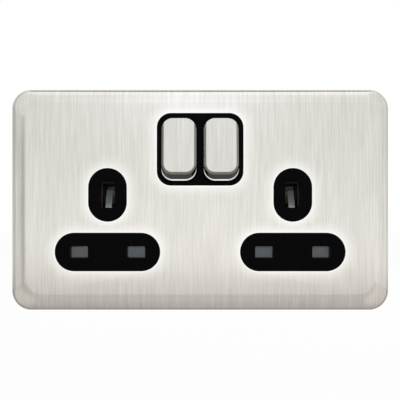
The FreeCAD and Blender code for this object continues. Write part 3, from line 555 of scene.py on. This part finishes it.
finishes = {
    "plate_steel": surface("brushed_plate_steel", plateSteel, 1.0),
    "cap_steel": surface("brushed_cap_steel", capSteel, 1.0),
    "yoke_steel": surface("zinc_plated_yoke", zincPlate, 1.0),
    "copper_strip": surface("copper_spring_strip", copperStrip, 1.0),
    "shutter_grey": surface("grey_shutter", shutterGrey),
}
for slot, look in metalLooks.items():
    finishes[slot] = surface(look["name"], polished(look), 1.0)
for slot, look in plasticLooks.items():
    finishes[slot] = surface(look["name"], moulded(look), **look.get("fixed", {}))
print("finishes mixed")


# CAD nodes keep their shape; those that show get a small edge radius and their finish

edgeRadius = {                                    # millimetres
    "front_moulding": 0.22, "rear_moulding": 0.30, "plate_liner": 0.12,
    "left_rocker": 0.15, "right_rocker": 0.15, "left_on_flag": 0.08, "right_on_flag": 0.08,
    "left_shutter": 0.12, "right_shutter": 0.12, "housing_screws": 0.15,
    "line_terminal": 0.25, "line_terminal_screw": 0.12,
    "neutral_terminal": 0.25, "neutral_terminal_screw": 0.12,
    "left_earth_terminal": 0.25, "left_earth_terminal_screw": 0.12,
    "right_earth_terminal": 0.25, "right_earth_terminal_screw": 0.12,
}
edgeLook = {"weld": 0.001, "segments": 2, "fromAngle": 40}


def dressNode(name, slot, look):
    node = nodes[name]
    node.data.materials.clear()
    node.data.materials.append(finishes[slot])
    if name in edgeRadius:
        weld = node.modifiers.new("weld", "WELD")
        weld.merge_threshold = look["weld"] * mm
        bevel = node.modifiers.new("edge", "BEVEL")
        bevel.width = edgeRadius[name] * mm
        bevel.segments = look["segments"]
        bevel.limit_method = "ANGLE"
        bevel.angle_limit = math.radians(look["fromAngle"])
        bevel.harden_normals = True


for row in frame["record"]["subparts"]:
    dressNode(row["node"], row["material_slot"], edgeLook)
print("nodes dressed")


# Mesh helpers: loops are lists of (x, z) in millimetres, rings are vertices of a bmesh

def roundedLoop(centreX, centreZ, width, height, radius, steps):
    straight = 0.005                              # each side keeps this much on both halves
    radius = min(radius, width / 2 - straight, height / 2 - straight)
    loop = []
    for corner, (sideX, sideZ) in enumerate(((1, 1), (-1, 1), (-1, -1), (1, -1))):
        middleX = centreX + sideX * (width / 2 - radius)
        middleZ = centreZ + sideZ * (height / 2 - radius)
        for step in range(steps + 1):
            angle = (corner + step / steps) * math.pi / 2
            loop.append((middleX + radius * math.cos(angle), middleZ + radius * math.sin(angle)))
    return loop


def addRing(mesh, loop, y):
    return [mesh.verts.new((x * mm, y * mm, z * mm)) for x, z in loop]


def bridge(mesh, first, second, slot=0):
    for place in range(len(first)):
        after = (place + 1) % len(first)
        face = mesh.faces.new((first[place], first[after], second[after], second[place]))
        face.material_index = slot


def ringEdges(mesh, ring):
    edges = []
    for place in range(len(ring)):
        pair = (ring[place], ring[(place + 1) % len(ring)])
        edges.append(mesh.edges.get(pair) or mesh.edges.new(pair))
    return edges


def makePiece(name, mesh, materials, body, sharp):
    # edges that bend by more than sharp degrees stay crisp
    bmesh.ops.recalc_face_normals(mesh, faces=mesh.faces)
    data = bpy.data.meshes.new(name)
    mesh.to_mesh(data)
    mesh.free()
    for material in materials:
        data.materials.append(material)
    data.polygons.foreach_set("use_smooth", [True] * len(data.polygons))
    data.set_sharp_from_angle(angle=math.radians(sharp))
    piece = bpy.data.objects.new(name, data)
    bpy.context.scene.collection.objects.link(piece)
    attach(piece, body)
    return piece


# Face plate: one pressed sheet, its edge a long roll and a short one, its cut-outs with a rounded lip that carries
# a painted highlight

plateLook = {
    "cornerRadius": 7.5,
    "cornerShrink": 0.25,                         # how much of the inset the corner's radius loses
    "sheet": 1.0,
    "band": 6.4,                                  # width of the long roll
    "drop": 1.515,                                # how far the long roll falls
    "ease": 2.5,                                  # power of its curve, so that it starts softly
    "shoulder": 0.9,                              # width of the short roll
    "lip": 0.22,
    "rimRound": 0.15,
    "cornerSteps": 20,
    "rollSteps": 14,
    "cutSteps": 14,
    "lipSteps": 4,
    "flatWeight": 80,                             # how firmly the flat keeps its shading
}


def edgeProfile(look, faceY, offset):
    # (inset, y) from the flat to the back, for the sheet's outer face or its inner one
    reach = look["band"] - look["shoulder"]
    steepest = look["ease"] * look["drop"] / reach
    slope = math.atan(steepest)
    shortRadius = look["shoulder"] / (1 - math.sin(slope))
    kneeY = faceY + look["drop"]
    points = []
    for step in range(look["rollSteps"] + 1):
        share = step / look["rollSteps"]
        angle = math.atan(steepest * share ** (look["ease"] - 1))
        points.append((look["band"] - reach * share + offset * math.sin(angle),
                       faceY + look["drop"] * share ** look["ease"] + offset * math.cos(angle)))
    for step in range(1, look["rollSteps"] + 1):
        angle = slope + (math.pi / 2 - slope) * step / look["rollSteps"]
        points.append((shortRadius - (shortRadius - offset) * math.sin(angle),
                       kneeY + shortRadius * math.cos(slope) - (shortRadius - offset) * math.cos(angle)))
    return points


def makePlate(look):
    low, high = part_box("front_plate")
    width = (high.x - low.x) / mm
    height = (high.z - low.z) / mm
    faceY = low.y / mm
    backY = high.y / mm
    mesh = bmesh.new()

    def sweep(points):
        rings = []
        for inset, y in points:
            radius = look["cornerRadius"] - inset * look["cornerShrink"]
            loop = roundedLoop(0, 0, width - 2 * inset, height - 2 * inset, radius, look["cornerSteps"])
            rings.append(addRing(mesh, loop, y))
        for first, second in zip(rings, rings[1:]):
            bridge(mesh, first, second)
        return rings

    rim = look["rimRound"]
    outer = edgeProfile(look, faceY, 0.0) + [(0.0, backY - rim), (rim, backY)]
    inner = edgeProfile(look, faceY, look["sheet"])
    inner += [(look["sheet"], backY - rim), (look["sheet"] - rim, backY)]
    outerRings = sweep(outer)
    innerRings = sweep(inner)
    bridge(mesh, outerRings[-1], innerRings[-1])
    faceEdges = ringEdges(mesh, outerRings[0])
    backEdges = ringEdges(mesh, innerRings[0])
    lip = look["lip"]
    steps = look["cutSteps"]
    for centreX, centreZ, wide, high, radius in cutOuts.values():
        rings = []
        for step in range(look["lipSteps"] + 1):
            angle = math.pi / 2 * step / look["lipSteps"]
            grow = lip * (1 - math.sin(angle))
            loop = roundedLoop(centreX, centreZ, wide + 2 * grow, high + 2 * grow, radius + grow, steps)
            rings.append(addRing(mesh, loop, faceY + lip * (1 - math.cos(angle))))
        loop = roundedLoop(centreX, centreZ, wide, high, radius, steps)
        rings.append(addRing(mesh, loop, faceY + look["sheet"]))
        for first, second in zip(rings, rings[1:]):
            bridge(mesh, first, second)
        faceEdges += ringEdges(mesh, rings[0])
        backEdges += ringEdges(mesh, rings[-1])
    for edges in (faceEdges, backEdges):
        bmesh.ops.triangle_fill(mesh, edges=edges, use_beauty=True, use_dissolve=False,
                                normal=(0, -1, 0))
    piece = makePiece("pressed_face_plate", mesh, [finishes["plate_steel"]], "faceplate",
                      60)
    weighted = piece.modifiers.new("flat_stays_flat", "WEIGHTED_NORMAL")
    weighted.keep_sharp = True
    weighted.weight = look["flatWeight"]
    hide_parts("front_plate")


makePlate(plateLook)
print("face plate pressed")


# Rocker caps: a lip, steep walls and a bevel on three sides of a brushed pad; the lip carries a painted highlight,
# the steep walls a dark painted shade and the bevel a lighter painted shade

padSlot, lipHighlightSlot, sideShadeSlot, footShadeSlot = range(4)   # places of the cap's materials
capLook = {
    "width": 13.5,
    "height": 24.4,
    "cornerRadius": 4.3,
    "lipBack": -2.0,
    "lipFront": -3.0,
    "lipShow": 0.55,                              # lip below the pad
    "wall": 2.55,
    "bevel": 0.65,
    "bevelWidth": 0.95,
    "footSlope": 1.5,
    "headSlope": 0.3,
    "padRadius": 3.2,
    "edge": 0.10,
    "seam": 0.02,
    "cornerSteps": 12,
    "sheet": 0.45,
    "tilt": -6.5,                                 # both rockers are off
}


def jointNamed(name):
    return next(joint for joint in frame["joints"] if joint["name"] == name)


def rockerPlace(side):
    pivot = Vector(jointNamed(f"{side}_rocker_hinge")["pos_m"])
    return Matrix.Translation(pivot) @ Matrix.Rotation(math.radians(capLook["tilt"]), 4, "X")


def makeCap(side, look):
    # the bevel runs out at the two upper corners, and goes round the two lower ones
    half = look["height"] / 2
    halfWidth = look["width"] / 2
    corner = look["cornerRadius"]
    edge = look["edge"]
    seam = look["seam"]
    wide = look["bevelWidth"]
    front = look["lipFront"]
    kneeY = front - look["wall"]
    faceY = kneeY - look["bevel"]
    foot = -half + look["lipShow"]
    knee = foot + look["footSlope"]
    face = knee + wide
    top = half - look["headSlope"]
    mesh = bmesh.new()

    def ring(low, high, inset, radius, y):
        middle = (low + high) / 2
        loop = roundedLoop(0, middle, look["width"] - 2 * inset, high - low, radius, look["cornerSteps"])
        return addRing(mesh, loop, y)

    def padRing(low, inset, radius, arcInset, fall, y):
        # fall is how much of the bevel lies above this ring, y its place where that is all of it
        middle = (low + top) / 2
        lower = roundedLoop(0, middle, look["width"] - 2 * inset, top - low, radius, look["cornerSteps"])
        upper = roundedLoop(0, middle, look["width"] - 2 * arcInset, top - low - 2 * arcInset,
                            corner - arcInset, look["cornerSteps"])
        points = []
        for (lowX, lowZ), (highX, highZ) in zip(lower, upper):
            if highZ < middle:
                points.append(mesh.verts.new((lowX * mm, y * mm, lowZ * mm)))
                continue
            reach = halfWidth - inset
            beside = min(max((abs(highX) - halfWidth + wide) / wide, 0.0), 1.0)
            raised = fall * min(look["bevel"] * (1 - beside), look["bevel"] - 2.5 * edge)
            place = (max(-reach, min(reach, highX)) * mm, (y - raised) * mm, highZ * mm)
            points.append(mesh.verts.new(place))
        return points

    rings = [                                     # shares of edge and seam round off each fold
        ring(-half, half, 0, corner, look["lipBack"]),
        ring(-half, half, 0, corner, front + edge),
        ring(-half + edge * 0.3, half - seam / 2, seam / 2, corner, front + edge * 0.3),
        ring(-half + edge, half - seam, seam, corner, front),
        ring(foot, half - seam * 2, seam * 2, corner, front),
        padRing(knee - edge * 0.6, seam * 3, corner, seam * 3, 1, kneeY + edge),
        padRing(knee + edge * 0.1, edge * 0.6, corner, seam * 4, 1, kneeY - edge * 0.1),
        padRing(knee + edge, edge * 1.4, corner - edge, seam * 5, 1, kneeY - edge * 0.7),
        padRing(face - edge, wide - edge, look["padRadius"] + edge, edge * 1.2, 0, faceY + edge * 0.8),
        padRing(face - edge * 0.2, wide, look["padRadius"], edge * 1.6, 0, faceY + edge * 0.2),
        padRing(face + edge, wide + edge, look["padRadius"] - edge, edge * 2.4, 0, faceY),
    ]
    sheet = look["sheet"]
    inside = [
        ring(-half + sheet, half - sheet, sheet, corner - sheet, look["lipBack"]),
        ring(foot + sheet, half - sheet, sheet, corner - sheet, front + sheet),
        padRing(knee + sheet, sheet + seam, corner - sheet, sheet + seam, 1, kneeY + sheet),
        padRing(face + sheet, wide + sheet, look["padRadius"] - sheet, sheet + edge, 0, faceY + sheet),
    ]
    # the lip gets its painted highlight, the steep walls and the bevel their painted shade
    slots = [lipHighlightSlot] * 4 + [footShadeSlot] + [sideShadeSlot] * 3 + [padSlot] * 2
    for first, second, slot in zip(rings, rings[1:], slots):
        bridge(mesh, first, second, slot)
    for first, second in zip(inside, inside[1:]):
        bridge(mesh, first, second, lipHighlightSlot)
    bridge(mesh, rings[0], inside[0], lipHighlightSlot)
    for end in (rings[-1], inside[-1]):
        mesh.faces.new(end)
    mesh.transform(rockerPlace(side))
    materials = [finishes[name] for name in ("cap_steel", "lip_painted_highlight", "side_painted_shade", "foot_painted_shade")]
    piece = makePiece(f"{side}_brushed_cap", mesh, materials, f"{side}_switch", 30)
    weighted = piece.modifiers.new("flat_stays_flat", "WEIGHTED_NORMAL")
    weighted.keep_sharp = True
    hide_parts(f"{side}_rocker_cap")


for side in ("left", "right"):
    makeCap(side, capLook)
print("rocker caps folded")


# Springs: round wire with closed ends

shutterSpring = {"wire": 0.25, "turns": 8.5, "stepsPerTurn": 24, "wireSides": 8, "squeezed": 5 / 11}
plungerSpring = {"wire": 0.18, "turns": 5.0, "stepsPerTurn": 24, "wireSides": 8}


def makeSpring(name, node, body, place, outside, length, look):
    # wound about the local Z of place, from 0 to length
    mesh = bmesh.new()
    wire = look["wire"]
    turns = look["turns"]
    steps = look["stepsPerTurn"]
    sides = look["wireSides"]
    radius = outside / 2 - wire / 2
    pitch = (length - 3 * wire) / (turns - 2)
    count = round(turns * steps)

    def rise(turn):
        if turn < 1:
            return wire / 2 + wire * turn
        if turn > turns - 1:
            return length - wire / 2 - wire * (turns - turn)
        return 1.5 * wire + pitch * (turn - 1)

    rings = []
    for step in range(count + 1):
        angle = 2 * math.pi * step / steps
        out = Vector((math.cos(angle), math.sin(angle), 0))
        middle = out * radius + Vector((0, 0, rise(step / steps)))
        ring = []
        for side in range(sides):
            around = 2 * math.pi * side / sides
            shift = out * math.cos(around) + Vector((0, 0, math.sin(around)))
            ring.append(mesh.verts.new((middle + shift * wire / 2) * mm))
        rings.append(ring)
    for first, second in zip(rings, rings[1:]):
        bridge(mesh, first, second)
    mesh.faces.new(rings[0])
    mesh.faces.new(rings[-1])
    mesh.transform(place)
    piece = makePiece(name, mesh, [finishes["spring_steel"]], body, 60)
    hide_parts(node)
    return piece


for side in ("left", "right"):
    node = f"{side}_shutter_spring"
    low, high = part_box(node)
    place = Matrix.Translation(((low.x + high.x) / 2, (low.y + high.y) / 2, low.z))
    spring = makeSpring(f"{side}_shutter_coil", node, "housing", place, (high.x - low.x) / mm,
                        (high.z - low.z) / mm, shutterSpring)
    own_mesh(spring)
    turned = rockerPlace(side)
    for kind in ("outer", "inner"):
        node = f"{side}_{kind}_plunger_spring"
        corners = [turned.inverted() @ vertex.co for vertex in nodes[node].data.vertices]
        low = Vector([min(corner[axis] for corner in corners) for axis in range(3)])
        high = Vector([max(corner[axis] for corner in corners) for axis in range(3)])
        centre = Matrix.Translation(((low.x + high.x) / 2, low.y, (low.z + high.z) / 2))
        inwards = Matrix.Rotation(math.radians(-90), 4, "X")
        makeSpring(f"{side}_{kind}_plunger_coil", node, f"{side}_switch", turned @ centre @ inwards,
                   (high.x - low.x) / mm, (high.y - low.y) / mm, plungerSpring)
print("springs wound")


# Terminal screws: the thread that their plain shanks stand for

threadLook = {
    "shank": 1.75,                                # radius
    "crest": 0.12,
    "root": -0.04,
    "pitch": 0.7,
    "startsIn": 0.2,
    "headHeight": 1.8,
    "around": 28,
    "perPitch": 6,
}


def makeThread(node, body, look):
    low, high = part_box(node)
    centreX = (low.x + high.x) / 2 / mm
    centreZ = (low.z + high.z) / 2 / mm
    start = low.y / mm + look["startsIn"]
    end = high.y / mm - look["headHeight"]
    mesh = bmesh.new()
    count = round((end - start) / look["pitch"] * look["perPitch"])
    rings = []
    for step in range(count + 1):
        y = start + (end - start) * step / count
        loop = []
        for spot in range(look["around"]):
            share = spot / look["around"]
            wave = abs(2 * ((y / look["pitch"] - share) % 1.0) - 1)
            radius = look["shank"] + look["root"] + (look["crest"] - look["root"]) * wave
            loop.append((centreX + radius * math.cos(2 * math.pi * share),
                         centreZ + radius * math.sin(2 * math.pi * share)))
        rings.append(addRing(mesh, loop, y))
    for first, second in zip(rings, rings[1:]):
        bridge(mesh, first, second)
    mesh.faces.new(rings[0])
    mesh.faces.new(rings[-1])
    makePiece(f"{node}_thread", mesh, [finishes["plated_screw"]], body, 50)


for kind in ("line", "left_earth", "right_earth", "neutral"):
    makeThread(f"{kind}_terminal_screw", f"{kind}_screw", threadLook)
print("screws threaded")


# Raised marks above the terminals: L, N and the earth sign

markLook = {
    "height": 3.4,
    "stroke": 0.60,
    "rise": 0.30,
    "sunk": 0.1,
    "step": 0.015,                                # each stroke is lower than the one before it
    "draft": 0.06,
    "above": 1.4,                                 # from the terminal's top
}
earthStrokes = ((0.5, 1, 0.5, 0.5), (0, 0.5, 1, 0.5), (0.2, 0.25, 0.8, 0.25), (0.38, 0, 0.62, 0))
markStrokes = {                                   # from where to where, in shares of the height
    "line": ((0, 0, 0, 1), (0, 0, 0.6, 0)),
    "left_earth": earthStrokes,
    "right_earth": earthStrokes,
    "neutral": ((0, 0, 0, 1), (0, 1, 0.7, 0), (0.7, 0, 0.7, 1)),
}


def makeMark(kind, strokes, look):
    low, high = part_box(f"{kind}_terminal")
    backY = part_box("rear_moulding")[1].y / mm
    size = look["height"]
    width = max(max(startU, endU) for startU, startV, endU, endV in strokes) * size
    leftX = (low.x + high.x) / 2 / mm + width / 2  # it reads from behind, so it runs towards -X
    baseZ = high.z / mm + look["above"]
    mesh = bmesh.new()
    for place, (startU, startV, endU, endV) in enumerate(strokes):
        start = Vector((leftX - startU * size, baseZ + startV * size))
        end = Vector((leftX - endU * size, baseZ + endV * size))
        along = (end - start).normalized()
        across = Vector((-along.y, along.x))
        rings = []
        rise = look["rise"] - look["step"] * place
        for y, inset in ((backY - look["sunk"], 0.0), (backY + rise, look["draft"])):
            half = look["stroke"] / 2 - inset
            corners = (start + (across - along) * half, end + (across + along) * half,
                       end + (along - across) * half, start - (along + across) * half)
            rings.append(addRing(mesh, [tuple(corner) for corner in corners], y))
        bridge(mesh, rings[0], rings[1])
        mesh.faces.new(rings[0])
        mesh.faces.new(rings[1])
    makePiece(f"{kind}_mark", mesh, [finishes["mark_paint"]], "housing", 30)


for kind, strokes in markStrokes.items():
    makeMark(kind, strokes, markLook)
print("marks raised")
